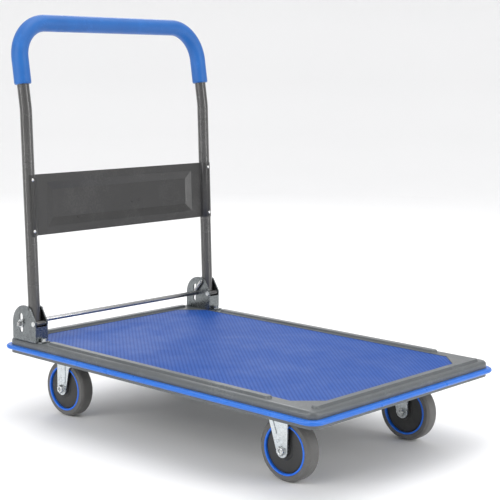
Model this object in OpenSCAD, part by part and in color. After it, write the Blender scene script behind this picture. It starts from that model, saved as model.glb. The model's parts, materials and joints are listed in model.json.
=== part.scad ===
// Folding platform cart: a pressed steel deck on two rigid and two swivel
// casters, with a tubular handle that folds flat over the deck.
// +X points to the open end of the deck, away from the handle; Z = 0 is the floor.

/* [Deck] */
// Overall length of the deck, over the bumper
deck_l = 908; // [720:4:1100]
// Overall width of the deck, over the bumper
deck_w = 600; // [480:10:700]
// Depth of the deck's side wall below the mat's top face
pan_depth = 32; // [28:1:45]
// Thickness of the deck's steel sheet
sheet_t = 2; // [1.2:0.1:3]
// Outer corner radius of the side wall
corner_r = 18; // [14:1:60]
// Width of the steel border between the side wall and the mat
border_w = 35; // [32:1:50]
// Thickness of the mat
mat_t = 2.5; // [1.5:0.1:4]
// Length that the mat's corners are cut back by
mat_cut = 50; // [20:1:90]
// How far the bumper stands out from the side wall
bumper_out = 12; // [8:1:20]
// Height of the bumper strip
bumper_h = 9; // [6:0.5:14]

/* [Handle] */
// Outer diameter of the handle tube
tube_d = 26; // [22:1:30]
// Wall thickness of the handle tube
tube_t = 1.5; // [1:0.1:2.5]
// Height of the top bar's centre line above the mat
handle_h = 692; // [560:2:800]
// How far the legs lean back from upright, in degrees
lean = 2.6; // [0:0.1:5]
// Extra backward bend of the handle's upper part, in degrees
top_bend = 6.8; // [2:0.1:15]
// Centre-line radius of the two top corners
top_corner_r = 78; // [60:1:110]
// Outer diameter of the soft grip
grip_d = 37; // [32:0.5:42]
// Height of the back panel, along the legs
panel_h = 134; // [80:2:200]
// Height of the panel's lower edge above the mat, along the legs
panel_low = 232; // [150:2:280]

/* [Hinge brackets] */
// Thickness of the bracket plates
plate_t = 3; // [2:0.5:4]
// Length of a bracket, front to back
bracket_l = 80; // [76:1:100]
// Height of a bracket above the deck
bracket_h = 79; // [74:1:95]
// Diameter of the pivot pins
pivot_d = 8; // [6:0.5:8]
// Diameter of the lock rod
rod_d = 10; // [8:0.5:11]
// How far the lock rod moves down to free the handle
rod_travel = 14; // [8:0.5:16]

/* [Casters] */
// Wheel diameter
wheel_d = 127; // [110:1:130]
// Width of the tyre
wheel_w = 34; // [28:1:38]
// Height of a caster's top face above its wheel
caster_rise = 29.5; // [28:0.5:45]
// Distance from the deck's side to the wheels' middles
wheel_inset = 107; // [100:1:150]
// Distance from the deck's front end to the front axle
front_inset = 148; // [130:1:220]
// Distance from the deck's rear end to the rear kingpins
rear_inset = 142; // [130:1:220]
// Distance that a swivel wheel trails behind its kingpin
trail = 34; // [28:1:38]
// Diameter of the axle bolts
axle_d = 10; // [8:1:12]

/* [Hidden] */

$fn = 64;
eps = 0.01;

// Clearances
gap = 0.3;         // between faces that move past each other
run_gap = 0.05;    // radial, between a pin and its bore
bolt_gap = 0.5;    // radial, between a bolt and its hole
lap = 1;           // how far a cutter passes the face it cuts

// Deck, with heights measured from the mat's top face
wall_x = deck_l / 2 - bumper_out;
wall_y = deck_w / 2 - bumper_out;
edge_r = 8;                          // rounding of the wall's top edge
seat_z = 1;                          // flat border, above the mat's top face
bead_w = 20;
bead_h = 5;
bead_in = 20;                        // from the wall to a bead's centre line
bead_side_in = 128;                  // from the wall to a side bead's front end
bead_side_front = wall_x - bead_side_in;
bead_front_in = 30;
bead_front_end = wall_y - bead_front_in;
bead_crown = 0.6;                    // flat share of a bead's width
bead_steps = 8;
lip_w = 12;                          // flange turned in at the wall's foot
mat_x = wall_x - border_w;
mat_y = wall_y - border_w;
mat_gap = 0.4;
bumper_z = -18.5;                    // height of the bumper's middle
floor_z = -mat_t - sheet_t;          // underside of the deck's middle

// Cross members: hat sections welded under the deck
hat_w = 110;
hat_h = 16;
hat_flange = 15;
hat_in = 30;                         // from the wall to a cross member's end
hat_l = 2 * (wall_y - hat_in);
keel_w = 60;
keel_gap = 1;

// Casters, with heights measured from the floor
axle_z = wheel_d / 2;
caster_top_z = wheel_d + caster_rise;
deck_h = caster_top_z + hat_h - floor_z; // the mat's top face
track = deck_w - 2 * wheel_inset;
front_axle_x = deck_l / 2 - front_inset;
kingpin_x = deck_l / 2 - rear_inset;
top_plate_t = 3;
top_plate_l = 105;
top_plate_w = 80;
bolt_x = 40;                         // half spacings of the caster bolts
bolt_y = 31.5;
bolt_d = 8;
bolt_head_af = 13;
bolt_head_h = 5;
nut_h = 6.5;
bolt_end = 10;                       // thread past the sheet that a bolt clamps
plate_corner_r = 8;
tread_to_ring = 13;
ring_r = wheel_d / 2 - tread_to_ring; // outer radius of the coloured ring
ring_t = 4;
ring_proud = 0.5;                    // ring past the tyre's side
shoulder_r = 6;
core_in = 4;
core_edge = wheel_w / 2 - core_in;       // half width of the core at its rim
boss_r = 13;
hub_step = 2;                        // from the boss out to the dished disc
dome_rise = 1.5;
boss_out = 1.5;
boss_w = wheel_w / 2 + boss_out;       // half width of the core's boss
bearing_r = 9;
fork_in = boss_w + boss_out;             // half of the clear width inside a fork
fork_t = 2.5;
rib_t = 1.5;                         // raised part of a fork's leg
fork_out = fork_in + fork_t + rib_t;
leg_foot_r = 14;                     // radius of a fork's leg round the axle
axle_head_af = 16;
axle_head_h = 6.4;
axle_nut_h = 8;
flange_t = 1.2;                      // flange under a bolt's head
axle_flange = 3;
crown_t = 3.5;
fork_front = 24;                     // crown in front of a kingpin
race_plate = 4;                      // height of the lower race
race_lap = 2;                        // lower race past the crown's rim
race_h = 12.5;                       // from a crown to its top plate
crown_top_z = caster_top_z - top_plate_t - race_h;
race_r = 31;
kingpin_r = 7;
kingpin_head_r = 11;
kingpin_head_h = 4;
kingpin_seat = 3;                    // radial, round the kingpin in its race

// Handle, in its own frame: origin on the legs' plane at the mat's top face
leg_in = 74;
leg_x = leg_in - wall_x;             // the legs' axis at the mat's height
leg_play = 1;                        // between a leg and each bracket plate
bracket_w = tube_d + 2 * leg_play + 2 * plate_t;
bracket_proud = -0.5;                // bracket past the wall's face
leg_y = wall_y - bracket_w / 2 + bracket_proud;
bend_start = 500;
bend_r = 120;
full_lean = lean + top_bend;
upper_l = (handle_h - bend_start * cos(lean) - bend_r * (sin(full_lean) - sin(lean)))
    / cos(full_lean) - top_corner_r; // straight part above the bend
grip_low = 47;                       // where the grip starts, above the bend
grip_gap = 0.05;

// Pivot and lock rod: the pin passes in front of the leg
sleeve_t = 1.5;
pin_gap = 0.5;                       // between a pivot pin and the leg behind it
pivot_ahead = tube_d / 2 + pivot_d / 2 + pin_gap;
pivot_z = 42;
pivot_x = leg_x + pivot_ahead * cos(lean) - pivot_z * sin(lean);
rod_z = 38;
leg_tail = 7;
leg_reach = pivot_ahead + tube_d / 2 + leg_tail; // furthest that a leg's foot gets from the pin
rod_play = 1.5;                      // between the rod and a passing foot
rod_x = pivot_x - leg_reach - rod_d / 2 - rod_play;
leg_foot = pivot_z - sqrt(pow(leg_reach, 2) - pow(pivot_ahead + tube_d / 2, 2));
slot_up = 18;                        // slot above the rod's centre
anchor_back = 18;
anchor_x = pivot_x - anchor_back;
anchor_z = 74;
anchor_d = 3.5;

// Brackets
web_play = 1;                        // between a sleeve and the bracket's web
bracket_front = pivot_x + pivot_d / 2 + sleeve_t + web_play;
bracket_r = 42;                      // rounding at a bracket's top
web_top = pivot_z - pivot_d / 2 - sleeve_t - web_play;
foot_tab = 15;                       // flange in front of a bracket's web
foot_tab_w = 24;
rear_bolt_in = 16;                   // rear bolt, from a bracket's back
front_rise = 10;                     // plates' front edge above the web

// ---------- Helpers ----------

function flip(side) = side > 0 ? 0 : 1;

// Mirror to the right-hand side (-Y) when side is -1
module on_side(side) {
    mirror([0, flip(side), 0]) children();
}

module both_sides() {
    for (side = [1, -1]) on_side(side) children();
}

// Sweep a profile round a rounded rectangle; profile x is outward, y is up
module sweep_round(half_x, half_y, r) {
    for (k = [0:3]) {
        reach = k % 2 == 0 ? half_x : half_y;
        run = k % 2 == 0 ? half_y : half_x;
        rotate([0, 0, 90 * k]) {
            translate([reach, run - r, 0])
                rotate([90, 0, 0])
                linear_extrude(2 * (run - r)) children();
            translate([reach - r, run - r, 0])
                rotate_extrude(angle = 90) translate([r, 0]) children();
        }
    }
}

module rounded_plate(half_x, half_y, r, t) {
    linear_extrude(t) {
        square([2 * half_x, 2 * (half_y - r)], center = true);
        square([2 * (half_x - r), 2 * half_y], center = true);
        for (sx = [-1, 1], sy = [-1, 1])
            translate([sx * (half_x - r), sy * (half_y - r)]) circle(r);
    }
}

// Outline of the mat, grown by a margin
module mat_outline(grow) {
    x = mat_x + grow;
    y = mat_y + grow;
    cut = mat_cut + grow * (2 - sqrt(2));
    polygon([
        [x, y - cut], [x - cut, y], [cut - x, y], [-x, y - cut],
        [-x, cut - y], [cut - x, -y], [x - cut, -y], [x, cut - y]
    ]);
}

module hex(af, h) {
    cylinder(d = af / cos(30), h = h, $fn = 6);
}

// Turn +Z into +Y
module along_y() {
    rotate([-90, 0, 0]) children();
}

module ring_2d(r_out, r_in) {
    difference() {
        circle(r_out);
        circle(r_in);
    }
}

// ---------- Deck ----------

module wall_profile() {
    translate([-sheet_t, -pan_depth])
        square([sheet_t, pan_depth + seat_z - edge_r]);
    translate([-lip_w, -pan_depth]) square([lip_w, sheet_t]);
    intersection() {
        translate([-edge_r, seat_z - edge_r]) ring_2d(edge_r, edge_r - sheet_t);
        translate([-edge_r, seat_z - edge_r]) square(edge_r);
    }
}

// Half profile of a pressed bead: a flat top with smooth flanks
function bead_half(w, h) = [
    for (i = [0:bead_steps])
        let (t = i / bead_steps)
        [w / 2 * (bead_crown + (1 - bead_crown) * t), h * (1 + cos(180 * t)) / 2]
];

module bead_section(w, h) {
    half = bead_half(w, h);
    polygon(concat(
        [[-w / 2, -eps]],
        [for (i = [bead_steps:-1:0]) [-half[i][0], half[i][1]]],
        half,
        [[w / 2, -eps]]
    ));
}

// A bead along X with rounded ends
module bead(length, w, h) {
    translate([-length / 2, 0, 0])
        rotate([90, 0, 90]) linear_extrude(length) bead_section(w, h);
    for (end = [-1, 1]) translate([end * length / 2, 0, 0])
        rotate_extrude()
        polygon(concat([[0, -eps], [0, h]], bead_half(w, h), [[w / 2, -eps]]));
}

module beads(w, h) {
    side_back = bracket_front + foot_tab + bead_w;
    both_sides()
        translate([(bead_side_front + side_back) / 2, wall_y - bead_in, 0])
        bead(bead_side_front - side_back, w, h);
    translate([wall_x - bead_in, 0, 0])
        rotate([0, 0, 90]) bead(2 * bead_front_end, w, h);
    translate([bead_in - wall_x, 0, 0])
        rotate([0, 0, 90]) bead(2 * (leg_y - bracket_w / 2 - bead_w), w, h);
}

module deck_pan() {
    color([0.36, 0.38, 0.39])
    translate([0, 0, deck_h])
    difference() {
        union() {
            sweep_round(wall_x, wall_y, corner_r) wall_profile();
            difference() {
                translate([0, 0, seat_z - sheet_t])
                    rounded_plate(wall_x - edge_r, wall_y - edge_r, corner_r - edge_r, sheet_t);
                translate([0, 0, seat_z - 2 * sheet_t])
                    linear_extrude(3 * sheet_t) mat_outline(mat_gap);
            }
            translate([0, 0, floor_z])
                linear_extrude(seat_z - floor_z) mat_outline(mat_gap + sheet_t);
            translate([0, 0, seat_z]) beads(bead_w, bead_h);
        }
        translate([0, 0, -mat_t]) linear_extrude(mat_t + 2 * seat_z) mat_outline(mat_gap);
        translate([0, 0, -deck_h]) bracket_bolt_places()
            translate([0, 0, deck_h + floor_z - eps])
            cylinder(d = bolt_d + 2 * bolt_gap, h = seat_z - floor_z + lap);
    }
}

module deck_mat() {
    color([0.30, 0.44, 0.74])
    translate([0, 0, deck_h - mat_t]) linear_extrude(mat_t) mat_outline(0);
}

module bumper_profile() {
    nose = bumper_h / 2;
    translate([0, -nose]) square([bumper_out - nose, bumper_h]);
    translate([bumper_out - nose, 0]) circle(nose);
}

module bumper_strip() {
    color([0.10, 0.43, 0.88])
    translate([0, 0, deck_h + bumper_z])
        sweep_round(wall_x, wall_y, corner_r) bumper_profile();
}

// Hat section with its flanges up, from z = -hat_h to 0
module hat_profile(w) {
    translate([-w / 2, -hat_h]) square([w, sheet_t]);
    for (side = [-1, 1]) {
        translate([side * (w - sheet_t) / 2 - sheet_t / 2, -hat_h]) square([sheet_t, hat_h]);
        translate([side * (w + hat_flange) / 2 - hat_flange / 2 - sheet_t / 2, -sheet_t])
            square([hat_flange + sheet_t, sheet_t]);
    }
}

module cross_member(x) {
    color([0.16, 0.17, 0.18])
    difference() {
        translate([x, hat_l / 2, deck_h + floor_z])
            rotate([90, 0, 0]) linear_extrude(hat_l) hat_profile(hat_w);
        both_sides() translate([x, track / 2, 0]) caster_bolt_places()
            translate([0, 0, caster_top_z - lap])
            cylinder(d = bolt_d + 2 * bolt_gap, h = sheet_t + 2 * lap);
    }
}

module keel_member() {
    back = -kingpin_x + hat_w / 2 + hat_flange + keel_gap;
    front = front_axle_x - hat_w / 2 - hat_flange - keel_gap;
    color([0.16, 0.17, 0.18])
    translate([back, 0, deck_h + floor_z])
        rotate([90, 0, 90]) linear_extrude(front - back) hat_profile(keel_w);
}

// ---------- Hinge brackets and lock ----------

bracket_back = bracket_front - bracket_l;
bracket_top_x = bracket_back + bracket_r;
bracket_top_z = bracket_h - bracket_r;
slant_a = 62;                        // where the rounded top meets the slanted front

module bracket_outline() {
    slant_x = bracket_top_x + bracket_r * cos(slant_a);
    slant_z = bracket_top_z + bracket_r * sin(slant_a);
    intersection() {
        union() {
            translate([bracket_top_x, bracket_top_z]) circle(bracket_r);
            translate([bracket_back, 0]) square([bracket_l, bracket_top_z]);
        }
        polygon([
            [bracket_back, 0], [bracket_front, 0], [bracket_front, web_top + front_rise],
            [slant_x, slant_z], [slant_x, bracket_h], [bracket_back, bracket_h]
        ]);
    }
}

module bracket_plate(y) {
    translate([0, y + plate_t / 2, seat_z])
        rotate([90, 0, 0])
        linear_extrude(plate_t) bracket_outline();
}

module hinge_bracket(side) {
    plate_y = (bracket_w - plate_t) / 2;
    slot_w = rod_d + 2 * gap;
    color([0.72, 0.74, 0.74])
    on_side(side) translate([0, leg_y, deck_h])
    difference() {
        union() {
            for (y = [-plate_y, plate_y]) bracket_plate(y);
            translate([bracket_front - plate_t, -plate_y, seat_z])
                cube([plate_t, 2 * plate_y, web_top - seat_z]);
            translate([bracket_back, -plate_y, seat_z])
                cube([bracket_l, 2 * plate_y, plate_t]);
            translate([bracket_front - plate_t, -foot_tab_w / 2, seat_z])
                cube([foot_tab + plate_t, foot_tab_w, plate_t]);
        }
        translate([pivot_x, -bracket_w, pivot_z])
            along_y() cylinder(d = pivot_d + 2 * run_gap, h = 2 * bracket_w);
        for (z = [rod_z - rod_travel, rod_z + slot_up])
            translate([rod_x, -bracket_w, z])
            along_y() cylinder(d = slot_w, h = 2 * bracket_w);
        translate([rod_x - slot_w / 2, -bracket_w, rod_z - rod_travel])
            cube([slot_w, 2 * bracket_w, rod_travel + slot_up]);
        translate([anchor_x, -bracket_w, anchor_z])
            along_y() cylinder(d = anchor_d, h = 2 * bracket_w);
        for (x = [bracket_front + foot_tab / 2, bracket_back + rear_bolt_in])
            translate([x, 0, 0])
            cylinder(d = bolt_d + 2 * bolt_gap, h = seat_z + plate_t + lap);
    }
}

module bracket_bolt_places() {
    both_sides() translate([0, leg_y, 0])
        for (x = [bracket_front + foot_tab / 2, bracket_back + rear_bolt_in])
            translate([x, 0, 0]) children();
}

module bracket_bolts() {
    base_z = deck_h + seat_z + plate_t;
    under_z = deck_h + seat_z - sheet_t;
    head_af = 12;
    head_h = 4.5;
    low_nut_h = 7;
    color([0.80, 0.81, 0.82])
    bracket_bolt_places() {
        translate([0, 0, base_z]) cylinder(d = head_af + 1.5, h = flange_t);
        translate([0, 0, base_z + flange_t]) hex(head_af, head_h);
        translate([0, 0, under_z - bolt_end])
            cylinder(d = bolt_d, h = base_z - under_z + bolt_end + flange_t);
        translate([0, 0, under_z - low_nut_h]) hex(bolt_head_af, low_nut_h);
    }
}

module pivot_pins() {
    half = bracket_w / 2;
    cap_t = 1.8;
    cap_rim = 1.5;
    color([0.78, 0.80, 0.80])
    both_sides() translate([pivot_x, leg_y, deck_h + pivot_z]) along_y() {
        translate([0, 0, -half - cap_t / 2]) cylinder(d = pivot_d, h = 2 * half + cap_t);
        translate([0, 0, half]) cylinder(d = pivot_d + 2 * cap_rim, h = cap_t);
        translate([0, 0, -half - cap_t]) cylinder(d = pivot_d + 2 * cap_rim, h = cap_t);
    }
}

rod_washer_t = 1.6;
rod_tip = 7;                         // rod past its washer
pin_hole_d = 3.2;
pin_hole_in = 2.2;                   // split pin, from the washer
pin_tilt = 40;
rod_half = leg_y + bracket_w / 2 + rod_washer_t + rod_tip;
pin_hole_y = leg_y + bracket_w / 2 + gap + rod_washer_t + pin_hole_in;

module lock_rod() {
    chamfer = 1;
    color([0.85, 0.86, 0.87])
    translate([rod_x, 0, deck_h + rod_z])
    difference() {
        translate([0, -rod_half, 0]) along_y() {
            translate([0, 0, chamfer]) cylinder(d = rod_d, h = 2 * (rod_half - chamfer));
            cylinder(d = rod_d - 2 * chamfer, h = 2 * rod_half);
        }
        both_sides() translate([0, pin_hole_y, 0]) rotate([0, pin_tilt, 0])
            cylinder(d = pin_hole_d, h = 2 * rod_d, center = true);
    }
}

module rod_washers() {
    rim = 4;
    color([0.75, 0.76, 0.74])
    both_sides()
        translate([rod_x, leg_y + bracket_w / 2 + gap, deck_h + rod_z])
        along_y() difference() {
            cylinder(d = rod_d + 2 * rim, h = rod_washer_t);
            translate([0, 0, -lap])
                cylinder(d = rod_d + 2 * run_gap, h = rod_washer_t + 2 * lap);
        }
}

// Split pins: a loop at one end and two legs through the rod
module split_pins() {
    legs_d = 3;
    wire_r = 0.8;
    loop_r = 2.6;
    below = 5;
    above = 4.5;                     // the loop's underside, above the rod
    leg_l = rod_d + below + above + wire_r;
    color([0.80, 0.82, 0.82])
    both_sides() translate([rod_x, pin_hole_y, deck_h + rod_z]) rotate([0, pin_tilt, 0]) {
        translate([0, 0, -rod_d / 2 - below]) cylinder(d = legs_d, h = leg_l);
        translate([0, 0, rod_d / 2 + above + loop_r])
            rotate([0, 90, 0]) rotate_extrude() translate([loop_r, 0]) circle(wire_r, $fn = 24);
    }
}

// Lock spring, drawn as its outer envelope between the rod and its anchor
module lock_spring(side) {
    coil_d = 8;
    coil_in = 5;                     // from the bracket's inner face
    hook = 2.5;                      // between the coil and what it hooks to
    dx = anchor_x - rod_x;
    dz = anchor_z - rod_z;
    coil_start = rod_d / 2 + hook;
    coil_l = sqrt(dx * dx + dz * dz) - coil_start - hook - gap;
    color([0.82, 0.83, 0.83])
    on_side(side) translate([rod_x, leg_y - bracket_w / 2 - coil_in, deck_h + rod_z])
        rotate([0, atan2(dx, dz), 0])
        translate([0, 0, coil_start]) cylinder(d = coil_d, h = coil_l);
}

// ---------- Handle ----------

// Move from the handle's own frame into place
module in_handle() {
    translate([leg_x, 0, deck_h]) rotate([0, -lean, 0]) children();
}

// A station along a bent bar: its middle, its lean and its turn across the cart.
// The bar's cross-section lies in the plane of the two directions below.
function lean_dir(a) = [cos(a), 0, sin(a)];
function turn_dir(a, b) = [sin(b) * sin(a), cos(b), -sin(b) * cos(a)];

// A point of the handle's upper part, past the backward bend
function upper_point(y, z) = [
    bend_r * (cos(top_bend) - 1) - z * sin(top_bend),
    y,
    bend_start + bend_r * sin(top_bend) + z * cos(top_bend)
];

corner_steps = 13;
bend_steps = 3;
bar_sides = 28;

// Stations up one leg, in order from the foot, on the right-hand side
function leg_stations(foot) = concat(
    [[[0, -leg_y, foot], 0, 0]],
    [for (i = [0:bend_steps - 1])
        let (a = top_bend * i / bend_steps)
        [[bend_r * (cos(a) - 1), -leg_y, bend_start + bend_r * sin(a)], a, 0]]
);

// Stations of the upper part, from a height on the right leg to the top bar's middle
function upper_stations(start) = concat(
    [[upper_point(-leg_y, start), top_bend, 0]],
    [for (i = [0:corner_steps])
        let (b = 90 * i / corner_steps)
        [
            upper_point(
                top_corner_r * (1 - cos(b)) - leg_y,
                upper_l + top_corner_r * sin(b)
            ),
            top_bend, b
        ]]
);

// The same stations on the left-hand side, in order back down to the foot
function mirrored(stations) = [
    for (i = [len(stations) - 1:-1:0])
        let (s = stations[i])
        [[s[0][0], -s[0][1], s[0][2]], s[1], 180 - s[2]]
];

// A hollow bar through a list of stations, ends open
module pipe(stations, r_out, r_in) {
    n = len(stations);
    sides = bar_sides;
    points = [
        for (r = [r_out, r_in], s = stations, k = [0:sides - 1])
            let (a = 360 * k / sides)
            s[0] + r * cos(a) * lean_dir(s[1]) + r * sin(a) * turn_dir(s[1], s[2])
    ];
    outer = [
        for (i = [0:n - 2], k = [0:sides - 1])
            let (m = (k + 1) % sides, p = i * sides, q = p + sides)
            each [[p + k, q + k, q + m], [p + k, q + m, p + m]]
    ];
    shift = n * sides;
    inner = [for (f = outer) [f[2] + shift, f[1] + shift, f[0] + shift]];
    last = (n - 1) * sides;
    ends = [
        for (k = [0:sides - 1])
            let (m = (k + 1) % sides)
            each [
                [k, m, m + shift], [k, m + shift, k + shift],
                [last + k, last + m + shift, last + m],
                [last + k, last + k + shift, last + m + shift]
            ]
    ];
    polyhedron(points = points, faces = concat(outer, inner, ends), convexity = 8);
}

module handle_tube() {
    half = concat(leg_stations(leg_foot), upper_stations(0));
    color([0.38, 0.39, 0.40])
    in_handle() pipe(concat(half, mirrored(half)), tube_d / 2, tube_d / 2 - tube_t);
}

module handle_grip() {
    half = upper_stations(grip_low);
    color([0.13, 0.43, 0.78])
    in_handle() pipe(concat(half, mirrored(half)), grip_d / 2, tube_d / 2 + grip_gap);
}

panel_t = 1.2;
panel_in = 34;                       // sides of the recess, from the legs
panel_edge = 18;                     // top and bottom of the recess
panel_slope = 18;                    // width of the recess's sloping border
panel_deep = 4;
panel_wrap = 125;                    // angle that a side flange covers round its leg
hem_h = 6;
hem_in = 8;
rivet_in = 11;                       // rivets, from the panel's top and bottom
rivet_d = 4;
rivet_head_r = 3.6;
rivet_head_h = 1.6;

// Frustum of the pressed recess, grown by a margin
module recess(grow, depth) {
    half_y = leg_y - tube_d / 2 - panel_in + grow;
    half_z = panel_h / 2 - panel_edge + grow;
    intersection() {
        translate([0, 0, -half_z]) linear_extrude(2 * half_z) polygon([
            [eps, -half_y], [eps, half_y],
            [-depth, half_y - panel_slope], [-depth, panel_slope - half_y]
        ]);
        translate([0, half_y, 0]) rotate([90, 0, 0]) linear_extrude(2 * half_y) polygon([
            [eps, -half_z], [eps, half_z],
            [-depth, half_z - panel_slope], [-depth, panel_slope - half_z]
        ]);
    }
}

// Side flange: wraps the leg from its inner side to just past its front
module panel_flange() {
    r = tube_d / 2 + grip_gap;
    translate([0, leg_y, panel_low])
        rotate([0, 0, -90])
        rotate_extrude(angle = panel_wrap)
        translate([r, 0]) square([panel_t, panel_h]);
}

module back_panel() {
    r = tube_d / 2 + grip_gap;
    half_y = leg_y - r - panel_t / 2;
    mid_z = panel_low + panel_h / 2;
    color([0.29, 0.30, 0.30])
    in_handle() difference() {
        union() {
            translate([0, -half_y, panel_low]) cube([panel_t, 2 * half_y, panel_h]);
            both_sides() panel_flange();
            translate([0, 0, mid_z]) recess(panel_t, panel_deep);
            for (z = [panel_low, panel_low + panel_h - hem_h])
                translate([-panel_t, hem_in - half_y, z])
                cube([panel_t, 2 * (half_y - hem_in), hem_h]);
        }
        translate([panel_t, 0, mid_z]) recess(0, panel_deep);
        rivet_places() rivet_hole();
    }
}

module rivet_places() {
    both_sides()
        for (z = [panel_low + rivet_in, panel_low + panel_h - rivet_in])
            translate([tube_d / 2, leg_y, z]) children();
}

module rivet_hole() {
    translate([-lap, 0, 0]) rotate([0, 90, 0]) cylinder(d = rivet_d, h = 3 * panel_t + lap);
}

module panel_rivets() {
    head_z = grip_gap + panel_t;
    ball_r = (pow(rivet_head_r, 2) + pow(rivet_head_h, 2)) / (2 * rivet_head_h);
    color([0.80, 0.81, 0.80])
    in_handle() rivet_places() rotate([0, 90, 0]) rotate_extrude() {
        translate([0, gap]) square([rivet_d / 2 - run_gap, head_z]);
        intersection() {
            translate([0, head_z + rivet_head_h - ball_r]) circle(ball_r);
            translate([0, head_z]) square([rivet_head_r, rivet_head_h]);
        }
    }
}

// Sleeves welded to the front of the legs, which turn on the pivot pins
module pivot_sleeves() {
    half = tube_d / 2 - leg_play;
    color([0.38, 0.39, 0.40])
    difference() {
        both_sides() translate([pivot_x, leg_y - half, deck_h + pivot_z])
            along_y() cylinder(d = pivot_d + 2 * sleeve_t, h = 2 * half);
        both_sides() translate([pivot_x, leg_y - half - lap, deck_h + pivot_z])
            along_y() cylinder(d = pivot_d + 2 * run_gap, h = 2 * (half + lap));
        in_handle() both_sides() translate([0, leg_y, 0])
            cylinder(d = tube_d, h = pivot_z * 2);
    }
}

// ---------- Casters ----------

module caster_bolt_places() {
    for (x = [-bolt_x, bolt_x], y = [-bolt_y, bolt_y]) translate([x, y, 0]) children();
}

module caster_bolts() {
    plate_under = caster_top_z - top_plate_t;
    nut_z = caster_top_z + sheet_t;
    color([0.75, 0.76, 0.76])
    both_sides() for (x = [front_axle_x, -kingpin_x])
        translate([x, track / 2, 0]) caster_bolt_places() {
            translate([0, 0, plate_under - bolt_head_h]) hex(bolt_head_af, bolt_head_h);
            translate([0, 0, plate_under - lap])
                cylinder(d = bolt_d, h = nut_z - plate_under + bolt_end);
            translate([0, 0, nut_z]) hex(bolt_head_af, nut_h);
        }
}

module top_plate() {
    translate([0, 0, caster_top_z - top_plate_t])
    difference() {
        rounded_plate(top_plate_l / 2, top_plate_w / 2, plate_corner_r, top_plate_t);
        caster_bolt_places() translate([0, 0, -lap])
            cylinder(d = bolt_d + 2 * bolt_gap, h = top_plate_t + 2 * lap);
    }
}

module axle_hole() {
    translate([0, -2 * fork_out, axle_z])
        along_y() cylinder(d = axle_d + 2 * run_gap, h = 4 * fork_out);
}

// One side of a rigid fork: a leg with a raised rib and a rim along its slanted back
module rigid_leg() {
    top = caster_top_z - top_plate_t - axle_z;
    back_top = 42;
    back_drop = 8;
    rim = 4;
    dish = [-12, 28];                // lowest corner of the part left unraised
    dish_top = -10;
    translate([0, fork_in + fork_t, axle_z]) rotate([90, 0, 0]) {
        linear_extrude(fork_t) {
            circle(leg_foot_r);
            polygon([
                [-leg_foot_r, 0], [leg_foot_r, 0], [leg_foot_r, top],
                [-back_top, top], [-back_top, top - back_drop]
            ]);
        }
        translate([0, 0, -rib_t]) linear_extrude(rib_t + eps) {
            circle(leg_foot_r);
            polygon([
                [-leg_foot_r, 0], [leg_foot_r, 0], [leg_foot_r, top], [dish_top, top],
                dish, [rim - back_top, top], [-back_top, top], [-back_top, top - back_drop]
            ]);
        }
    }
}

module rigid_fork(side) {
    color([0.78, 0.80, 0.81])
    on_side(side) translate([front_axle_x, track / 2, 0]) difference() {
        union() {
            top_plate();
            both_sides() rigid_leg();
        }
        axle_hole();
    }
}

// One side of a swivel fork, from the axle up to the crown
module swivel_leg() {
    top = crown_top_z - axle_z;
    knee = [fork_front, 50];         // where the slanted front edge gets steeper
    drop = 8;
    rib_knee = [12, 30];
    rib_drop = 12;
    toe = 2;
    translate([0, fork_in + fork_t, axle_z]) rotate([90, 0, 0]) {
        linear_extrude(fork_t) {
            circle(leg_foot_r);
            polygon([
                [-leg_foot_r, 0], [leg_foot_r, toe], knee, [trail + fork_front, top - drop],
                [trail + fork_front, top], [-leg_foot_r, top]
            ]);
        }
        translate([0, 0, -rib_t]) linear_extrude(rib_t + eps) {
            circle(leg_foot_r);
            polygon([
                [-leg_foot_r, 0], [leg_foot_r - 2 * toe, toe], rib_knee,
                [rib_knee[0], top - rib_drop], [-leg_foot_r, top - rib_drop]
            ]);
        }
    }
}

module swivel_fork(side) {
    color([0.62, 0.64, 0.64])
    on_side(side) translate([-kingpin_x - trail, track / 2, 0]) difference() {
        union() {
            both_sides() swivel_leg();
            translate([-leg_foot_r, -fork_in - fork_t, crown_top_z - crown_t])
                cube([trail + fork_front + leg_foot_r, 2 * (fork_in + fork_t), crown_t]);
            translate([trail, 0, crown_top_z - crown_t]) cylinder(r = race_r, h = crown_t);
        }
        axle_hole();
        translate([trail, 0, crown_top_z - 2 * crown_t])
            cylinder(r = kingpin_r + run_gap, h = 3 * crown_t);
    }
}

module swivel_top_plate(side) {
    collar_low = crown_top_z + race_plate;
    color([0.70, 0.72, 0.72])
    on_side(side) translate([-kingpin_x, track / 2, 0]) difference() {
        union() {
            top_plate();
            translate([0, 0, collar_low]) cylinder(r = race_r, h = caster_top_z - collar_low - lap);
        }
        translate([0, 0, collar_low - lap])
            cylinder(r = kingpin_r, h = caster_top_z - collar_low + 2 * lap);
    }
}

// Lower ball race, pressed on the crown and turning with the fork
module swivel_race(side) {
    color([0.55, 0.57, 0.57])
    on_side(side) translate([-kingpin_x, track / 2, crown_top_z]) difference() {
        cylinder(r = race_r + race_lap, h = race_plate - gap);
        translate([0, 0, -lap])
            cylinder(r = kingpin_r + kingpin_seat, h = race_plate + 2 * lap);
    }
}

module kingpin(side) {
    head_z = crown_top_z - crown_t - gap - kingpin_head_h;
    color([0.70, 0.71, 0.72])
    on_side(side) translate([-kingpin_x, track / 2, head_z]) {
        cylinder(r = kingpin_r, h = caster_top_z - head_z);
        cylinder(r = kingpin_head_r, h = kingpin_head_h);
    }
}

// Place a wheel's part, turned so that its axis runs along Y
module at_wheel(end, side) {
    x = end > 0 ? front_axle_x : -kingpin_x - trail;
    on_side(side) translate([x, track / 2, axle_z]) along_y() children();
}

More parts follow.
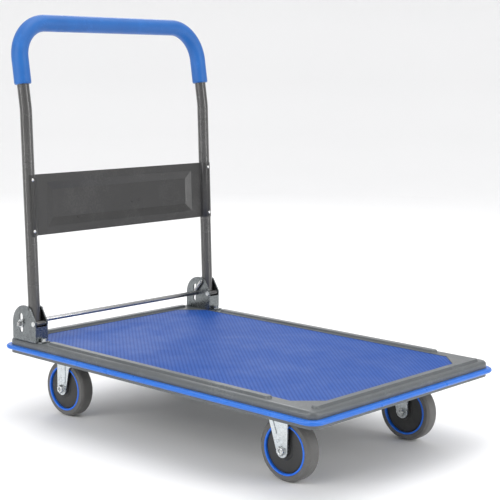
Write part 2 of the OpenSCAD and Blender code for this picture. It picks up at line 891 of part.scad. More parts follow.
module tyre(end, side) {
    r = wheel_d / 2;
    half = wheel_w / 2;
    color([0.42, 0.41, 0.40])
    at_wheel(end, side) rotate_extrude($fn = 128) {
        translate([ring_r, -half]) square([r - shoulder_r - ring_r, wheel_w]);
        translate([ring_r, shoulder_r - half])
            square([r - ring_r, wheel_w - 2 * shoulder_r]);
        for (y = [shoulder_r - half, half - shoulder_r])
            translate([r - shoulder_r, y]) circle(shoulder_r);
    }
}

module wheel_ring(end, side) {
    half = wheel_w / 2 + ring_proud;
    color([0.16, 0.44, 0.88])
    at_wheel(end, side) rotate_extrude($fn = 128)
        translate([ring_r - ring_t, -half]) square([ring_t, 2 * half]);
}

module wheel_core(end, side) {
    rim = ring_r - ring_t;
    dome = core_edge + dome_rise;
    step = boss_r + hub_step;
    color([0.30, 0.29, 0.28])
    at_wheel(end, side) rotate_extrude($fn = 128) polygon([
        [bearing_r, -boss_w], [boss_r, -boss_w], [step, -dome], [rim, -core_edge],
        [rim, core_edge], [step, dome], [boss_r, boss_w], [bearing_r, boss_w]
    ]);
}

module bearing(end, side) {
    half = fork_in - gap;
    race_rim = 1.5;
    color([0.66, 0.67, 0.68])
    at_wheel(end, side) difference() {
        union() {
            translate([0, 0, -boss_w]) cylinder(r = bearing_r, h = 2 * boss_w);
            translate([0, 0, -half]) cylinder(r = bearing_r - race_rim, h = 2 * half);
        }
        translate([0, 0, -half - lap])
            cylinder(d = axle_d + 2 * run_gap, h = 2 * (half + lap));
    }
}

module axle(end, side) {
    color([0.80, 0.81, 0.82])
    at_wheel(end, side) {
        translate([0, 0, -fork_out - axle_nut_h - lap])
            cylinder(d = axle_d, h = 2 * fork_out + axle_nut_h + 2 * lap);
        translate([0, 0, fork_out]) {
            cylinder(d = axle_head_af + axle_flange, h = flange_t);
            translate([0, 0, flange_t]) hex(axle_head_af, axle_head_h - flange_t);
        }
    }
}

module axle_nut(end, side) {
    color([0.78, 0.79, 0.80])
    at_wheel(end, side) translate([0, 0, -fork_out - axle_nut_h]) difference() {
        hex(axle_head_af, axle_nut_h);
        translate([0, 0, -lap]) cylinder(d = axle_d, h = axle_nut_h + 2 * lap);
    }
}

deck_pan();
deck_mat();
bumper_strip();
cross_member(front_axle_x);  // front_cross_member
cross_member(-kingpin_x);  // rear_cross_member
keel_member();
hinge_bracket(1);  // left_hinge_bracket
hinge_bracket(-1);  // right_hinge_bracket
bracket_bolts();
pivot_pins();
lock_rod();
rod_washers();
split_pins();
lock_spring(1);  // left_lock_spring
lock_spring(-1);  // right_lock_spring
handle_tube();
handle_grip();
back_panel();
panel_rivets();
pivot_sleeves();
caster_bolts();
rigid_fork(1);  // front_left_fork
rigid_fork(-1);  // front_right_fork
swivel_fork(1);  // rear_left_fork
swivel_fork(-1);  // rear_right_fork
swivel_top_plate(1);  // rear_left_top_plate
swivel_top_plate(-1);  // rear_right_top_plate
swivel_race(1);  // rear_left_race
swivel_race(-1);  // rear_right_race
kingpin(1);  // rear_left_kingpin
kingpin(-1);  // rear_right_kingpin
tyre(1, 1);  // front_left_tyre
tyre(1, -1);  // front_right_tyre
tyre(-1, 1);  // rear_left_tyre
tyre(-1, -1);  // rear_right_tyre
wheel_ring(1, 1);  // front_left_ring
wheel_ring(1, -1);  // front_right_ring
wheel_ring(-1, 1);  // rear_left_ring
wheel_ring(-1, -1);  // rear_right_ring
wheel_core(1, 1);  // front_left_core
wheel_core(1, -1);  // front_right_core
wheel_core(-1, 1);  // rear_left_core
wheel_core(-1, -1);  // rear_right_core
bearing(1, 1);  // front_left_bearing
bearing(1, -1);  // front_right_bearing
bearing(-1, 1);  // rear_left_bearing
bearing(-1, -1);  // rear_right_bearing
axle(1, 1);  // front_left_axle
axle(1, -1);  // front_right_axle
axle(-1, 1);  // rear_left_axle
axle(-1, -1);  // rear_right_axle
axle_nut(1, 1);  // front_left_nut
axle_nut(1, -1);  // front_right_nut
axle_nut(-1, 1);  // rear_left_nut
axle_nut(-1, -1);  // rear_right_nut
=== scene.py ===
"""Looks for the folding platform cart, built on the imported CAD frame."""

import json
import math

import bpy
from mathutils import Matrix, Vector


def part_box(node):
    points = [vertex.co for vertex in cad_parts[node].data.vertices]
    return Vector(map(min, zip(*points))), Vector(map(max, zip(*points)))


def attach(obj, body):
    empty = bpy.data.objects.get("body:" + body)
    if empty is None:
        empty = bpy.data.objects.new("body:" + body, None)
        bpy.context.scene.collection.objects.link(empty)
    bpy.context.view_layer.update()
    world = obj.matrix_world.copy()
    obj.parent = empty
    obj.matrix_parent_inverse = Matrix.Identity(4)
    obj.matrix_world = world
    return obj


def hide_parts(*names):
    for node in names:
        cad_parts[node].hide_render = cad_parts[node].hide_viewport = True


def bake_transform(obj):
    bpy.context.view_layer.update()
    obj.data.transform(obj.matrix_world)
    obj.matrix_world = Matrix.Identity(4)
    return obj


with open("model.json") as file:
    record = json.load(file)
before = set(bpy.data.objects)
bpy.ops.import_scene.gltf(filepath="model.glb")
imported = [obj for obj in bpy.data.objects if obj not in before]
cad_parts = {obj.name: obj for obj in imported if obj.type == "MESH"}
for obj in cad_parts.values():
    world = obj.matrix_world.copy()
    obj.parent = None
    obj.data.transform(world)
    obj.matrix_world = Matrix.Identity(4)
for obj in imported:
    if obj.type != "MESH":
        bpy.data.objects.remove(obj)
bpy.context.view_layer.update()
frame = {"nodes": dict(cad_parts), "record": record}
nodes = frame["nodes"]
MM = 0.001
SIDES = ("left", "right")
UP = Vector((0, 0, 1))
ACROSS = Vector((0, 1, 0))
SHARP = math.radians(38)          # edges sharper than this stay hard


# ---------------------------------------------------------------- materials


class Graph:
    """A material's node graph, built a node at a time in object coordinates."""

    def __init__(self, name):
        self.m = bpy.data.materials.new(name)
        self.m.use_nodes = True
        self.t = self.m.node_tree
        self.shader = self.t.nodes["Principled BSDF"]
        self.place = self.t.nodes.new("ShaderNodeTexCoord").outputs["Object"]

    def node(self, kind, **inputs):
        n = self.t.nodes.new(kind)
        for key, value in inputs.items():
            self.feed(n, key, value)
        return n

    def feed(self, n, key, value):
        slot = n.inputs[int(key[1:])] if key[0] == "i" and key[1:].isdigit() else n.inputs[key]
        if isinstance(value, bpy.types.NodeSocket):
            self.t.links.new(value, slot)
        else:
            slot.default_value = value

    def stretched(self, scale):
        n = self.node("ShaderNodeMapping", Scale=scale)
        self.t.links.new(self.place, n.inputs["Vector"])
        return n.outputs["Vector"]

    def noise(self, scale, detail=3, rough=0.5, at=None, distortion=0.0):
        n = self.node("ShaderNodeTexNoise", Scale=scale, Detail=detail, Roughness=rough,
                      Distortion=distortion, Vector=at or self.place)
        return n.outputs["Fac"]

    def cells(self, scale, at=None, out="Distance", feature="F1"):
        n = self.node("ShaderNodeTexVoronoi", Scale=scale, Vector=at or self.place)
        n.feature = feature
        return n.outputs[out]

    def math(self, op, a, b=0.0, clamp=False):
        n = self.node("ShaderNodeMath", i0=a, i1=b)
        n.operation = op
        n.use_clamp = clamp
        return n.outputs[0]

    def remap(self, value, low, high, to_low=0.0, to_high=1.0):
        n = self.node("ShaderNodeMapRange", i0=value, i1=low, i2=high, i3=to_low, i4=to_high)
        return n.outputs[0]

    def mix(self, fac, a, b):
        n = self.t.nodes.new("ShaderNodeMix")
        n.data_type = "RGBA"
        colours = [s for s in n.inputs if s.type == "RGBA"]
        self.feed(n, "i0", fac)
        for s, v in zip(colours, (a, b)):
            if isinstance(v, bpy.types.NodeSocket):
                self.t.links.new(v, s)
            else:
                s.default_value = (*v, 1)
        return [s for s in n.outputs if s.type == "RGBA"][0]

    def bump(self, height, strength, distance, normal=None):
        n = self.node("ShaderNodeBump", Height=height, Strength=strength, Distance=distance)
        if normal is not None:
            self.t.links.new(normal, n.inputs["Normal"])
        return n.outputs["Normal"]

    def split(self, at=None):
        n = self.t.nodes.new("ShaderNodeSeparateXYZ")
        self.t.links.new(at or self.place, n.inputs[0])
        return n.outputs

    def wear(self, coarse, fine, low=0.55, high=0.75):
        """Patchy marks: fine noise let through by coarse noise."""
        marks = self.math("MULTIPLY", self.noise(coarse, 4, 0.6), self.noise(fine, 6, 0.7))
        return self.remap(marks, low * 0.5, high * 0.5)

    def done(self, colour, rough, normal=None, **fixed):
        s = self.shader
        self.feed(s, "Base Color", colour if isinstance(colour, bpy.types.NodeSocket) else (*colour, 1))
        self.feed(s, "Roughness", rough)
        if normal is not None:
            self.feed(s, "Normal", normal)
        for key, value in fixed.items():
            s.inputs[key.replace("_", " ")].default_value = value
        return self.m


def paint(name, base, light, rough, peel, metallic=0.0, coat=0.0, flake=0.0):
    """Powder coat: orange peel, faint flakes, and patches worn a little duller and paler."""
    g = Graph(name)
    tone = g.mix(g.noise(9, 4, 0.6), base, light)
    tone = g.mix(g.math("MULTIPLY", g.wear(14, 260), 0.35), tone, tuple(1.9 * c for c in light))
    if flake:
        spark = g.remap(g.cells(2600, out="Color"), 0.72, 0.95)
        tone = g.mix(g.math("MULTIPLY", spark, flake), tone, tuple(min(1, 3.2 * c) for c in light))
    dull = g.math("ADD", g.remap(g.noise(22, 5, 0.65), 0.3, 0.7, rough - 0.05, rough + 0.07),
                  g.math("MULTIPLY", g.noise(700, 2), 0.05))
    normal = g.bump(g.noise(1100, 2, 0.4), peel, 0.0004)
    normal = g.bump(g.noise(160, 2, 0.5), peel * 0.5, 0.0006, normal)
    return g.done(tone, dull, normal, Metallic=metallic, Coat_Weight=coat, Coat_Roughness=0.18)


def zinc(name, base, dark, rough, grain, spangle=260, tint=0.25):
    """Zinc plate: crystal-like flecks, cloudy passivation and rolling marks."""
    g = Graph(name)
    fleck = g.cells(spangle, out="Color")
    tone = g.mix(g.remap(fleck, 0.15, 0.85), dark, base)
    tone = g.mix(g.remap(g.noise(35, 4, 0.65), 0.35, 0.7), tone, base)
    warm = (base[0] * 1.02, base[1] * 0.97, base[2] * 0.86)
    tone = g.mix(g.math("MULTIPLY", g.remap(g.noise(18, 3, 0.6), 0.45, 0.8), tint), tone, warm)
    speck = g.remap(g.noise(900, 3, 0.7), 0.6, 0.72)
    tone = g.mix(g.math("MULTIPLY", speck, 0.35), tone, tuple(0.35 * c for c in dark))
    dull = g.math("ADD", g.remap(fleck, 0, 1, rough - 0.07, rough + 0.08),
                  g.math("MULTIPLY", g.noise(60, 4), 0.08))
    normal = g.bump(g.noise(620, 4, 0.6), grain, 0.0003)
    return g.done(tone, dull, normal, Metallic=1.0)


def steel(name, base, rough, scale=(40, 900, 40), dark=0.86, edge=0.0):
    """Bright drawn or turned steel: fine lines one way, faint smudges, and, if asked, painted dark
    reflection bands along the sides and down the middle.
    """
    g = Graph(name)
    lines = g.noise(1, 3, 0.6, at=g.stretched(scale))
    tone = g.mix(g.remap(lines, 0.35, 0.6), tuple(dark * c for c in base), base)
    if edge:
        # painted reflection: near-black bands at the silhouette and a dark line where the surface faces the
        # camera, as chrome mirrors dark surroundings
        facing = g.node("ShaderNodeLayerWeight", Blend=0.5).outputs["Facing"]
        shade = g.math("ADD", g.remap(facing, 0.5, 0.72), g.remap(facing, 0.03, 0.10, 0.8, 0.0), clamp=True)
        tone = g.mix(g.math("MULTIPLY", shade, edge), tone, (0.03, 0.03, 0.032))
    smudge = g.remap(g.noise(30, 4, 0.6), 0.4, 0.75)
    dull = g.math("ADD", g.math("MULTIPLY", smudge, 0.10),
                  g.remap(lines, 0.2, 0.8, rough - 0.03, rough + 0.05))
    return g.done(tone, dull, g.bump(lines, 0.06, 0.0002), Metallic=1.0)


def moulded(name, base, light, rough, grain, scale=900, sheen=0.0, coat=0.0):
    """Moulded plastic, vinyl or rubber: fine grain, cloudy tone, and dust in places."""
    g = Graph(name)
    tone = g.mix(g.noise(26, 4, 0.6), base, light)
    dust = tuple(min(1, 1.35 * c + 0.02) for c in light)
    tone = g.mix(g.math("MULTIPLY", g.wear(30, 420), 0.3), tone, dust)
    dull = g.math("ADD", g.remap(g.noise(48, 4, 0.6), 0.3, 0.7, rough - 0.05, rough + 0.06),
                  g.math("MULTIPLY", g.noise(scale, 2), 0.06))
    normal = g.bump(g.cells(scale, feature="SMOOTH_F1"), grain, 0.0003)
    normal = g.bump(g.noise(scale * 0.3, 3, 0.5), grain * 0.6, 0.0004, normal)
    return g.done(tone, dull, normal, Sheen_Weight=sheen, Coat_Weight=coat, Coat_Roughness=0.25)


DOT_PITCH = (12.0 * MM, 10.3 * MM)  # the mat's dots, along the deck and across it


def mat_vinyl():
    """Vinyl sheet with diagonal rows of small raised dots and a fine skin; the dots carry a painted
    highlight and the gaps between rows painted shade.
    """
    g = Graph("mat_vinyl")
    x, y, _ = g.split()
    along, across = (g.math("MULTIPLY", v, 2 * math.pi / pitch) for v, pitch in zip((x, y), DOT_PITCH))
    a, b = (g.math("ADD", g.math("MULTIPLY", g.math("COSINE", v), 0.5), 0.5)
            for v in (g.math("ADD", along, across),
                      g.math("MULTIPLY", g.math("SUBTRACT", along, across), 2.0)))
    stud = g.remap(g.math("MULTIPLY", a, b), 0.10, 0.50)
    base, light = (0.003, 0.050, 0.27), (0.007, 0.070, 0.34)
    tone = g.mix(g.noise(5, 4, 0.55), base, light)
    # painted highlight: the tops of the raised dots are coloured lighter
    tone = g.mix(g.math("MULTIPLY", stud, 0.45), tone, (0.040, 0.120, 0.40))
    # painted shade: the troughs between the diagonal rows of dots are coloured darker
    tone = g.mix(g.remap(a, 0.0, 0.45, 0.35, 0.0), tone, (0.005, 0.026, 0.14))
    tone = g.mix(g.math("MULTIPLY", g.wear(11, 200), 0.06), tone, (0.13, 0.20, 0.42))
    dull = g.math("ADD", g.remap(g.noise(14, 5, 0.6), 0.3, 0.7, 0.46, 0.60),
                  g.math("MULTIPLY", stud, -0.08))
    normal = g.bump(stud, 0.35, 0.0006)
    normal = g.bump(g.noise(1500, 2, 0.5), 0.12, 0.0003, normal)
    return g.done(tone, dull, normal, Specular_IOR_Level=0.16)


def floor_material():
    g = Graph("studio_floor")
    tone = g.mix(g.noise(0.6, 3, 0.5), (0.90, 0.90, 0.90), (0.93, 0.93, 0.93))
    return g.done(tone, g.remap(g.noise(3, 3), 0, 1, 0.75, 0.85), g.bump(g.noise(60, 2), 0.02, 0.001))


finishes = {
    "deck_paint": paint("deck_paint", (0.082, 0.091, 0.096), (0.110, 0.118, 0.122), 0.30, 0.20,
                        metallic=0.3, coat=0.2, flake=0.20),
    "mat_vinyl": mat_vinyl(),
    "bumper_plastic": moulded("bumper_plastic", (0.003, 0.110, 0.50), (0.006, 0.145, 0.60), 0.28, 0.05,
                              coat=0.15),
    "frame_paint": paint("frame_paint", (0.020, 0.021, 0.022), (0.032, 0.033, 0.034), 0.48, 0.30),
    "bracket_zinc": zinc("bracket_zinc", (0.21, 0.225, 0.23), (0.10, 0.11, 0.115), 0.24, 0.12, 520),
    "fastener_zinc": zinc("fastener_zinc", (0.66, 0.68, 0.68), (0.46, 0.48, 0.49), 0.24, 0.08, 420),
    # the chrome rod gets painted dark reflection bands (edge=0.9)
    "rod_chrome": steel("rod_chrome", (0.42, 0.42, 0.42), 0.25, (420, 6, 420), 0.8, edge=0.9),
    "spring_steel": steel("spring_steel", (0.58, 0.58, 0.57), 0.24, (500, 500, 500)),
    "tube_paint": paint("tube_paint", (0.055, 0.054, 0.053), (0.080, 0.079, 0.077), 0.22, 0.12,
                        metallic=0.4, coat=0.35, flake=0.25),
    "grip_vinyl": moulded("grip_vinyl", (0.0, 0.088, 0.34), (0.0, 0.115, 0.41), 0.42, 0.16, 760,
                          sheen=0.08),
    "panel_paint": paint("panel_paint", (0.024, 0.024, 0.023), (0.036, 0.035, 0.034), 0.30, 0.18,
                         metallic=0.25, coat=0.2, flake=0.22),
    "rivet_steel": steel("rivet_steel", (0.72, 0.72, 0.70), 0.22, (300, 300, 300)),
    "caster_zinc": zinc("caster_zinc", (0.62, 0.66, 0.68), (0.42, 0.45, 0.47), 0.27, 0.10, 300),
    "tyre_rubber": moulded("tyre_rubber", (0.098, 0.097, 0.094), (0.135, 0.132, 0.128), 0.55, 0.20, 640,
                           sheen=0.05),
    "ring_plastic": moulded("ring_plastic", (0.008, 0.13, 0.72), (0.015, 0.18, 0.84), 0.34, 0.05),
    "core_plastic": moulded("core_plastic", (0.018, 0.019, 0.019), (0.030, 0.030, 0.030), 0.46, 0.22, 520),
    "bearing_steel": steel("bearing_steel", (0.60, 0.60, 0.60), 0.22),
}

for part in frame["record"]["subparts"]:
    o = nodes[part["node"]]
    o.data.materials.clear()
    o.data.materials.append(finishes[part["material_slot"]])


# ---------------------------------------------------------------- mesh helpers


def mesh_object(name, points, faces, slot, body, replaced=()):
    me = bpy.data.meshes.new(name)
    me.from_pydata([tuple(p) for p in points], [], faces)
    me.validate()
    me.update()
    me.polygons.foreach_set("use_smooth", [True] * len(me.polygons))
    me.set_sharp_from_angle(angle=SHARP)
    o = bpy.data.objects.new(name, me)
    bpy.context.scene.collection.objects.link(o)
    o.data.materials.append(finishes[slot])
    if body:
        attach(o, body)
        if replaced:
            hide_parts(*replaced)
    return o


def centre(node):
    low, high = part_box(node)
    return (Vector(low) + Vector(high)) / 2


def strip(rows, closed_along=False):
    """Quads between rows of equal length."""
    n = len(rows[0])
    points = [p for row in rows for p in row]
    faces = []
    last = len(rows) if closed_along else len(rows) - 1
    for i in range(last):
        a, b = i * n, ((i + 1) % len(rows)) * n
        for k in range(n):
            m = (k + 1) % n
            faces.append((a + k, a + m, b + m, b + k))
    return points, faces


class Route:
    """A centre line of straights and arcs, with a frame carried along it."""

    def __init__(self, start, along, side):
        self.at, self.along, self.side = Vector(start), along.normalized(), side.normalized()
        self.parts, self.length = [], 0.0

    def straight(self, length):
        self.parts.append((self.length, length, self.at.copy(), self.along.copy(),
                           self.side.copy(), None, 0))
        self.length += length
        self.at = self.at + self.along * length

    def arc(self, radius, angle, axis):
        self.parts.append((self.length, radius * angle, self.at.copy(), self.along.copy(),
                           self.side.copy(), axis.normalized(), radius))
        self.length += radius * angle
        hub = self.at + axis.normalized().cross(self.along) * radius
        turn = Matrix.Rotation(angle, 3, axis)
        self.at = hub + turn @ (self.at - hub)
        self.along, self.side = turn @ self.along, turn @ self.side

    def frame(self, s):
        for start, length, at, along, side, axis, radius in reversed(self.parts):
            if s >= start or start == 0:
                break
        d = s - start
        if axis is None:
            return at + along * d, along, side
        hub = at + axis.cross(along) * radius
        turn = Matrix.Rotation(d / radius, 3, axis)
        return hub + turn @ (at - hub), turn @ along, turn @ side

    def stops(self, step):
        out = [0.0]
        for start, length, *_, axis, radius in self.parts:
            n = max(1, round(length / (step if axis is not None else step * 6)))
            out += [start + length * (i + 1) / n for i in range(n)]
        return out


def ring(route, s, r, sides):
    p, along, side = route.frame(s)
    other = along.cross(side)
    return [p + r * (math.cos(a) * side + math.sin(a) * other)
            for a in (2 * math.pi * k / sides for k in range(sides))]


def bar(name, route, spans, sides, slot, body, replaced=()):
    """A hollow bar of revolution swept along a route; spans are (place, radius) in order."""
    points, faces = strip([ring(route, s, r, sides) for s, r in spans], closed_along=True)
    return mesh_object(name, points, faces, slot, body, replaced)


def wire(name, path, r, sides, slot, body, replaced=(), both=None):
    """A round wire along a list of points, closed at its ends, with an optional mirrored twin."""
    rows = []
    side = None
    for i, p in enumerate(path):
        along = (path[min(i + 1, len(path) - 1)] - path[max(i - 1, 0)]).normalized()
        guess = side or (along.cross(UP) if abs(along.z) < 0.9 else along.cross(ACROSS))
        side = (guess - along * guess.dot(along)).normalized()
        other = along.cross(side)
        rows.append([p + r * (math.cos(a) * side + math.sin(a) * other)
                     for a in (2 * math.pi * k / sides for k in range(sides))])
    points, faces = strip(rows)
    n = len(points)
    faces += [tuple(reversed(range(sides))), tuple(range(n - sides, n))]
    if both:
        points += [Vector((p.x, -p.y, p.z)) for p in points]
        faces += [tuple(n + k for k in reversed(f)) for f in faces]
    return mesh_object(name, points, faces, slot, body, replaced)


def rounded(corners, steps=5):
    """A closed outline of (x, y, radius) corners, with each corner rounded."""
    out = []
    n = len(corners)
    for i, (x, y, r) in enumerate(corners):
        p = Vector((x, y))
        if r <= 0:
            out.append(p)
            continue
        a = (Vector(corners[i - 1][:2]) - p)
        b = (Vector(corners[(i + 1) % n][:2]) - p)
        turn = a.angle(b)
        reach = min(r / math.tan(turn / 2), 0.49 * a.length, 0.49 * b.length)
        pa, pb = p + a.normalized() * reach, p + b.normalized() * reach
        for k in range(steps + 1):
            t = k / steps
            out.append((1 - t) ** 2 * pa + 2 * t * (1 - t) * p + t ** 2 * pb)
    return out


def lathe(name, outline, hub, slot, body, replaced=(), sides=96):
    """Turns a closed outline of (radius, offset along +Y) about an axis along Y."""
    rows = []
    for k in range(sides):
        a = 2 * math.pi * k / sides
        rows.append([hub + Vector((p.x * math.cos(a), p.y, p.x * math.sin(a))) for p in outline])
    points, faces = strip(rows, closed_along=True)
    faces = [tuple(reversed(f)) for f in faces]
    return mesh_object(name, points, faces, slot, body, replaced)


def turned(name, rings, hub, axis, slot, body, replaced=(), sides=72, spin=0.0):
    """A bolt head or washer: rings of (height, radius, how hexagonal) along an axis, ends closed."""
    axis = axis.normalized()
    e1 = (axis.cross(UP) if abs(axis.z) < 0.9 else axis.cross(ACROSS)).normalized()
    e2 = axis.cross(e1)
    rows = []
    for h, r, hexed in rings:
        row = []
        for k in range(sides):
            a = 2 * math.pi * k / sides
            wedge = (a + math.pi / 6) % (math.pi / 3) - math.pi / 6
            reach = r * ((1 - hexed) + hexed * math.cos(math.pi / 6) / math.cos(wedge))
            row.append(hub + axis * h + reach * (math.cos(a + spin) * e1 + math.sin(a + spin) * e2))
        rows.append(row)
    points, faces = strip(rows)
    n = len(points)
    faces += [tuple(reversed(range(sides))), tuple(range(n - sides, n))]
    return mesh_object(name, points, faces, slot, body, replaced)


# ---------------------------------------------------------------- handle

tube_high = Vector(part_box("handle_tube")[1])
mat_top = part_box("deck_mat")[1][2]
TUBE_R, TUBE_WALL = 13.0 * MM, 1.5 * MM
GRIP_R = 18.5 * MM
LEAN, TOP_BEND = math.radians(2.6), math.radians(6.8)
BEND_START, BEND_R, CORNER_R = 500 * MM, 120 * MM, 78 * MM
FOOT, GRIP_LOW = 20.18 * MM, 47 * MM
leg_y = tube_high.y - TUBE_R
pivot = centre("pivot_pins")
leg_x = pivot.x - 17.5 * MM * math.cos(LEAN) + (pivot.z - mat_top) * math.sin(LEAN)
full = LEAN + TOP_BEND
handle_h = tube_high.z - TUBE_R - mat_top
upper = (handle_h - BEND_START * math.cos(LEAN) - BEND_R * (math.sin(full) - math.sin(LEAN))) \
    / math.cos(full) - CORNER_R

up_leg = Vector((-math.sin(LEAN), 0, math.cos(LEAN)))
start = Vector((leg_x, -leg_y, mat_top)) + up_leg * FOOT
route = Route(start, up_leg, Vector((math.cos(LEAN), 0, math.sin(LEAN))))
route.straight(BEND_START - FOOT)
route.arc(BEND_R, TOP_BEND, -ACROSS)
grip_from = route.length + GRIP_LOW
route.straight(upper)
top_axis = route.along.cross(ACROSS)
route.arc(CORNER_R, math.pi / 2, top_axis)
route.straight(2 * (leg_y - CORNER_R))
route.arc(CORNER_R, math.pi / 2, top_axis)
route.straight(upper)
grip_to = route.length - GRIP_LOW
route.arc(BEND_R, TOP_BEND, ACROSS)
route.straight(BEND_START - FOOT)

stops = route.stops(5 * MM)
spans = [(s, TUBE_R) for s in stops]
inner = [(s, TUBE_R - TUBE_WALL) for s in reversed(stops)]
bar("handle_bar", route, spans + inner, 48, "tube_paint", "handle", ["handle_tube"])

inside = [s for s in stops if grip_from + 6 * MM < s < grip_to - 6 * MM]
ease = [(0.0, 3.4), (0.35, 1.9), (1.2, 0.85), (2.6, 0.2), (4.5, 0.0)]
spans = [(grip_from + d * MM, GRIP_R - r * MM) for d, r in ease]
spans += [(s, GRIP_R) for s in inside]
spans += [(grip_to - d * MM, GRIP_R - r * MM) for d, r in reversed(ease)]
bore = TUBE_R + 0.1 * MM
inner = [(s, bore) for s in reversed([grip_from] + inside + [grip_to])]
bar("grip_sleeve", route, spans + inner, 56, "grip_vinyl", "handle", ["handle_grip"])

# ---------------------------------------------------------------- wheels

for end in ("front", "rear"):
    for side in SIDES:
        tag = f"{end}_{side}"
        wheel = f"{tag}_wheel"
        hub = centre(f"{tag}_tyre")
        r = (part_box(f"{tag}_tyre")[1][2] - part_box(f"{tag}_tyre")[0][2]) / 2 / MM
        w = (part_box(f"{tag}_tyre")[1][1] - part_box(f"{tag}_tyre")[0][1]) / 2 / MM
        seat = r - 13
        half = [
            (seat, w - 0.9, 0.4), (seat + 0.9, w - 0.1, 0.4), (r - 9.2, w - 0.1, 0.5),
            (r - 8.7, w - 0.7, 0.2), (r - 8.1, w - 0.7, 0.2), (r - 7.6, w - 0.2, 0.5),
            (r - 4.6, w - 0.4, 3.0), (r - 0.5, w - 5.6, 3.4), (r, w - 9.5, 4.0),
        ]
        outline = half + [(a, -b, c) for a, b, c in reversed(half)]
        outline = [p * MM for p in rounded(outline)]
        lathe(f"{tag}_tyre_tread", outline, hub, "tyre_rubber", wheel, [f"{tag}_tyre"], 128)

        rim = seat - 4
        half = [
            (9.05, 18.4, 0.3), (12.4, 18.4, 1.0), (13.2, 15.6, 1.2), (19.0, 15.2, 1.0), (19.6, 14.4, 0.5),
            (21.0, 14.4, 0.5), (21.8, 15.0, 1.0), (rim - 6.0, 14.0, 2.0), (rim - 2.4, 13.6, 0.8),
            (rim - 1.4, 12.2, 0.6), (rim, 12.2, 0.1),
        ]
        outline = half + [(a, -b, c) for a, b, c in reversed(half)]
        outline = [p * MM for p in rounded(outline)]
        lathe(f"{tag}_hub_disc", outline, hub, "core_plastic", wheel, [f"{tag}_core"], 96)

        half = w + 0.5
        outline = [(rim, half - 1.4, 0.3), (rim + 0.8, half, 0.7),
                   (seat - 0.7, half, 0.7), (seat, half - 1.2, 0.3)]
        outline += [(a, -b, c) for a, b, c in reversed(outline)]
        outline = [p * MM for p in rounded(outline)]
        lathe(f"{tag}_wheel_band", outline, hub, "ring_plastic", wheel, [f"{tag}_ring"], 128)

# ---------------------------------------------------------------- springs and pins

COIL_R, COIL_PITCH, COIL_WIRE = 3.3 * MM, 1.75 * MM, 0.62 * MM
HOOK_R = 6.1 * MM
PIN_WIRE, PIN_HALF_GAP = 0.72 * MM, 0.75 * MM
EYE_R, EYE_UP = 2.6 * MM, 12.1 * MM

rod = centre("lock_rod")
for side in SIDES:
    low, high = (Vector(v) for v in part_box(f"{side}_lock_spring"))
    y = (low.y + high.y) / 2
    foot = Vector((rod.x, y, rod.z))
    anchor = Vector((high.x + 1 * MM, y, high.z + 1.5 * MM))
    along = (anchor - foot).normalized()
    flat = along.cross(ACROSS).normalized()
    begin, finish = 9.5 * MM, (anchor - foot).length - 7 * MM
    turns = round((finish - begin) / COIL_PITCH)
    path = []
    for k in range(13):
        a = math.pi * (1.15 - 1.15 * k / 12) + math.pi / 2
        path.append(foot + HOOK_R * (math.cos(a) * along + math.sin(a) * flat))
    path = [p for p in path if (p - foot).dot(along) < 6.2 * MM]
    path.append(foot + along * 7.4 * MM + flat * 1.2 * MM)
    steps = 18
    for k in range(turns * steps + 1):
        a = 2 * math.pi * k / steps
        path.append(foot + along * (begin + (finish - begin) * k / (turns * steps))
                    + COIL_R * (math.cos(a) * flat + math.sin(a) * ACROSS))
    for k in range(9):
        a = math.pi * 1.4 * k / 8
        path.append(foot + along * (finish + 2.6 * MM + 2.2 * MM * math.sin(a * 0.9))
                    + flat * 2.2 * MM * math.cos(a))
    coil = wire(f"{side}_coil", path, COIL_WIRE, 8, "spring_steel", None)
    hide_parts(f"{side}_lock_spring")
    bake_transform(coil)

hole = Vector((rod.x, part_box("split_pins")[1][1] - 3.4 * MM, rod.z))
tilt = math.radians(40)
up_pin = Vector((math.sin(tilt), 0, math.cos(tilt)))
back_pin = Vector((-math.cos(tilt), 0, math.sin(tilt)))


def pin_leg(offset, bend, length):
    """One leg of a split pin, from below the rod up to the eye."""
    turn = hole - up_pin * 6.6 * MM + ACROSS * offset
    tip = turn + (-up_pin * math.cos(bend) + back_pin * math.sin(bend)) * length
    return [tip, turn.lerp(tip, 0.5), turn.lerp(tip, 0.12), turn + up_pin * 0.6 * MM,
            hole + ACROSS * offset, hole + up_pin * 8.8 * MM + ACROSS * offset]


eye = hole + up_pin * EYE_UP
loop = [eye + EYE_R * (math.sin(a) * ACROSS - math.cos(a) * up_pin)
        for a in (math.radians(24 + 312 * k / 24) for k in range(25))]
pin = pin_leg(PIN_HALF_GAP, 1.1, 5 * MM) + loop + list(reversed(pin_leg(-PIN_HALF_GAP, 0.15, 4 * MM)))
wire("split_pin_wires", pin, PIN_WIRE, 10, "fastener_zinc", "lock_bar", ["split_pins"], both=True)

# ---------------------------------------------------------------- axle bolts

for end in ("front", "rear"):
    for side in SIDES:
        tag = f"{end}_{side}"
        out = 1 if side == "left" else -1
        low, high = (Vector(v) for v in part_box(f"{tag}_axle"))
        hub = (low + high) / 2
        hub.y = high.y if out > 0 else low.y
        shaft = (high.y - low.y) / MM
        rings = [
            (-shaft, 3.9, 0), (-shaft + 1.1, 5, 0), (-6.4, 5, 0), (-6.4, 9.1, 0), (-6.1, 9.5, 0),
            (-5.5, 9.5, 0), (-5.2, 9.2, 0), (-5.2, 8.9, 1), (-4.9, 9.2, 1), (-1.0, 9.2, 1),
            (-0.4, 8.5, 0.6), (0, 7.5, 0.1), (0, 4.1, 0), (-0.3, 3.7, 0), (-3.4, 3.3, 0), (-3.8, 1.2, 0),
        ]
        turned(f"{tag}_axle_bolt", [(h * MM, r * MM, x) for h, r, x in rings], hub, ACROSS * out,
               "fastener_zinc", "deck" if end == "front" else f"{tag}_swivel", [f"{tag}_axle"],
               spin=0.35 if end == "front" else 0.1)

# ---------------------------------------------------------------- softened edges on the CAD parts

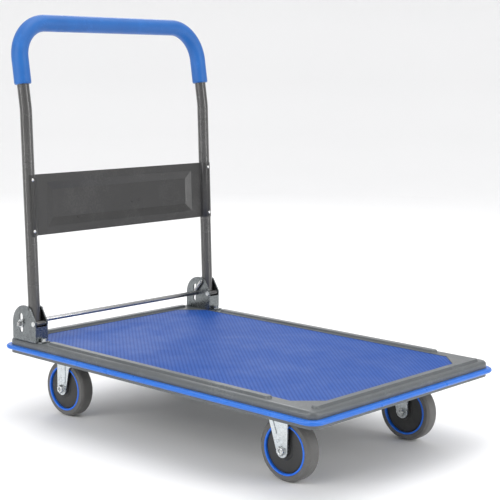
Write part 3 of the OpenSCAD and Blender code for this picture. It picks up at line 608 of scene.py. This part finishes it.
for part in frame["record"]["subparts"]:
    o = nodes[part["node"]]
    join = o.modifiers.new("join", "WELD")
    join.merge_threshold = 1e-6
    edge = o.modifiers.new("edge", "BEVEL")
    edge.width = 0.35 * MM
    edge.segments = 2
    edge.limit_method = "ANGLE"
    edge.angle_limit = math.radians(40)

# ---------------------------------------------------------------- studio

lens_at = Vector((1.8435, -1.9920, 0.7954))
turn, dip, roll = math.radians(42.46), math.radians(8.44), math.radians(0.68)
ahead = Vector((-math.sin(turn) * math.cos(dip), math.cos(turn) * math.cos(dip), -math.sin(dip)))
right = Vector((math.cos(turn), math.sin(turn), 0))
above = right.cross(ahead)
right, above = (right * math.cos(roll) + above * math.sin(roll),
                above * math.cos(roll) - right * math.sin(roll))
cam = bpy.data.objects.new("camera", bpy.data.cameras.new("camera"))
cam.data.lens, cam.data.sensor_width = 92.4, 36
cam.data.clip_end = 60
cam.matrix_world = Matrix((
    (right.x, above.x, -ahead.x, lens_at.x), (right.y, above.y, -ahead.y, lens_at.y),
    (right.z, above.z, -ahead.z, lens_at.z), (0, 0, 0, 1)))
bpy.context.scene.collection.objects.link(cam)
bpy.context.scene.camera = cam

bowl = [(0.0, 0.0), (5.0, 0.0), (5.8, 0.05), (6.5, 0.25), (7.0, 0.65), (7.25, 1.2), (7.3, 1.9)]
rows = [[Vector((r * math.cos(a), r * math.sin(a), z)) for a in (2 * math.pi * k / 96 for k in range(96))]
        for r, z in bowl[1:]]
points, faces = strip(rows)
faces.append(tuple(range(96)))
finishes["floor"] = floor_material()
floor = mesh_object("studio_floor", points, faces, "floor", None)


def softbox(name, at, aim, size, power, colour=(1, 1, 1)):
    light = bpy.data.lights.new(name, "AREA")
    light.shape, light.size, light.size_y = "RECTANGLE", size[0], size[1]
    light.energy, light.color = power, colour
    o = bpy.data.objects.new(name, light)
    o.location = at
    o.rotation_euler = (Vector(aim) - Vector(at)).to_track_quat("-Z", "Y").to_euler()
    bpy.context.scene.collection.objects.link(o)


softbox("overhead", (0.2, 0.2, 3.2), (0, 0, 0.3), (3.0, 2.2), 34)
softbox("key", (0.2, -3.4, 2.3), (0, 0, 0.4), (1.0, 1.8), 30)
softbox("fill", (3.6, 0.6, 1.7), (0, 0, 0.35), (1.0, 1.8), 16)
softbox("left_strip", (-1.1, -2.9, 0.9), (-0.4, 0, 0.6), (0.28, 2.0), 15)
softbox("right_strip", (2.5, 1.1, 0.9), (-0.4, 0, 0.6), (0.28, 2.0), 15)
softbox("rim", (-2.8, 2.2, 2.4), (-0.2, 0, 0.4), (1.4, 1.6), 22)

world = bpy.data.worlds.new("studio_air")
bpy.context.scene.world = world
world.use_nodes = True
t = world.node_tree
sky = t.nodes["Background"]
where = t.nodes.new("ShaderNodeTexCoord")
parts = t.nodes.new("ShaderNodeSeparateXYZ")
ramp = t.nodes.new("ShaderNodeValToRGB")
t.links.new(where.outputs["Generated"], parts.inputs[0])
t.links.new(parts.outputs["Z"], ramp.inputs[0])
t.links.new(ramp.outputs[0], sky.inputs["Color"])
bands = ((0.0, 1.0), (0.10, 1.0), (0.20, 0.62), (0.40, 0.55), (0.60, 1.0), (1.0, 1.1))
stops = ramp.color_ramp.elements
while len(stops) < len(bands):
    stops.new(0.5)
for stop, (at, level) in zip(stops, bands):
    stop.position, stop.color = at, (level, level, level * 1.01, 1)
sky.inputs["Strength"].default_value = 1.0
bpy.context.scene.view_settings.view_transform = "Standard"
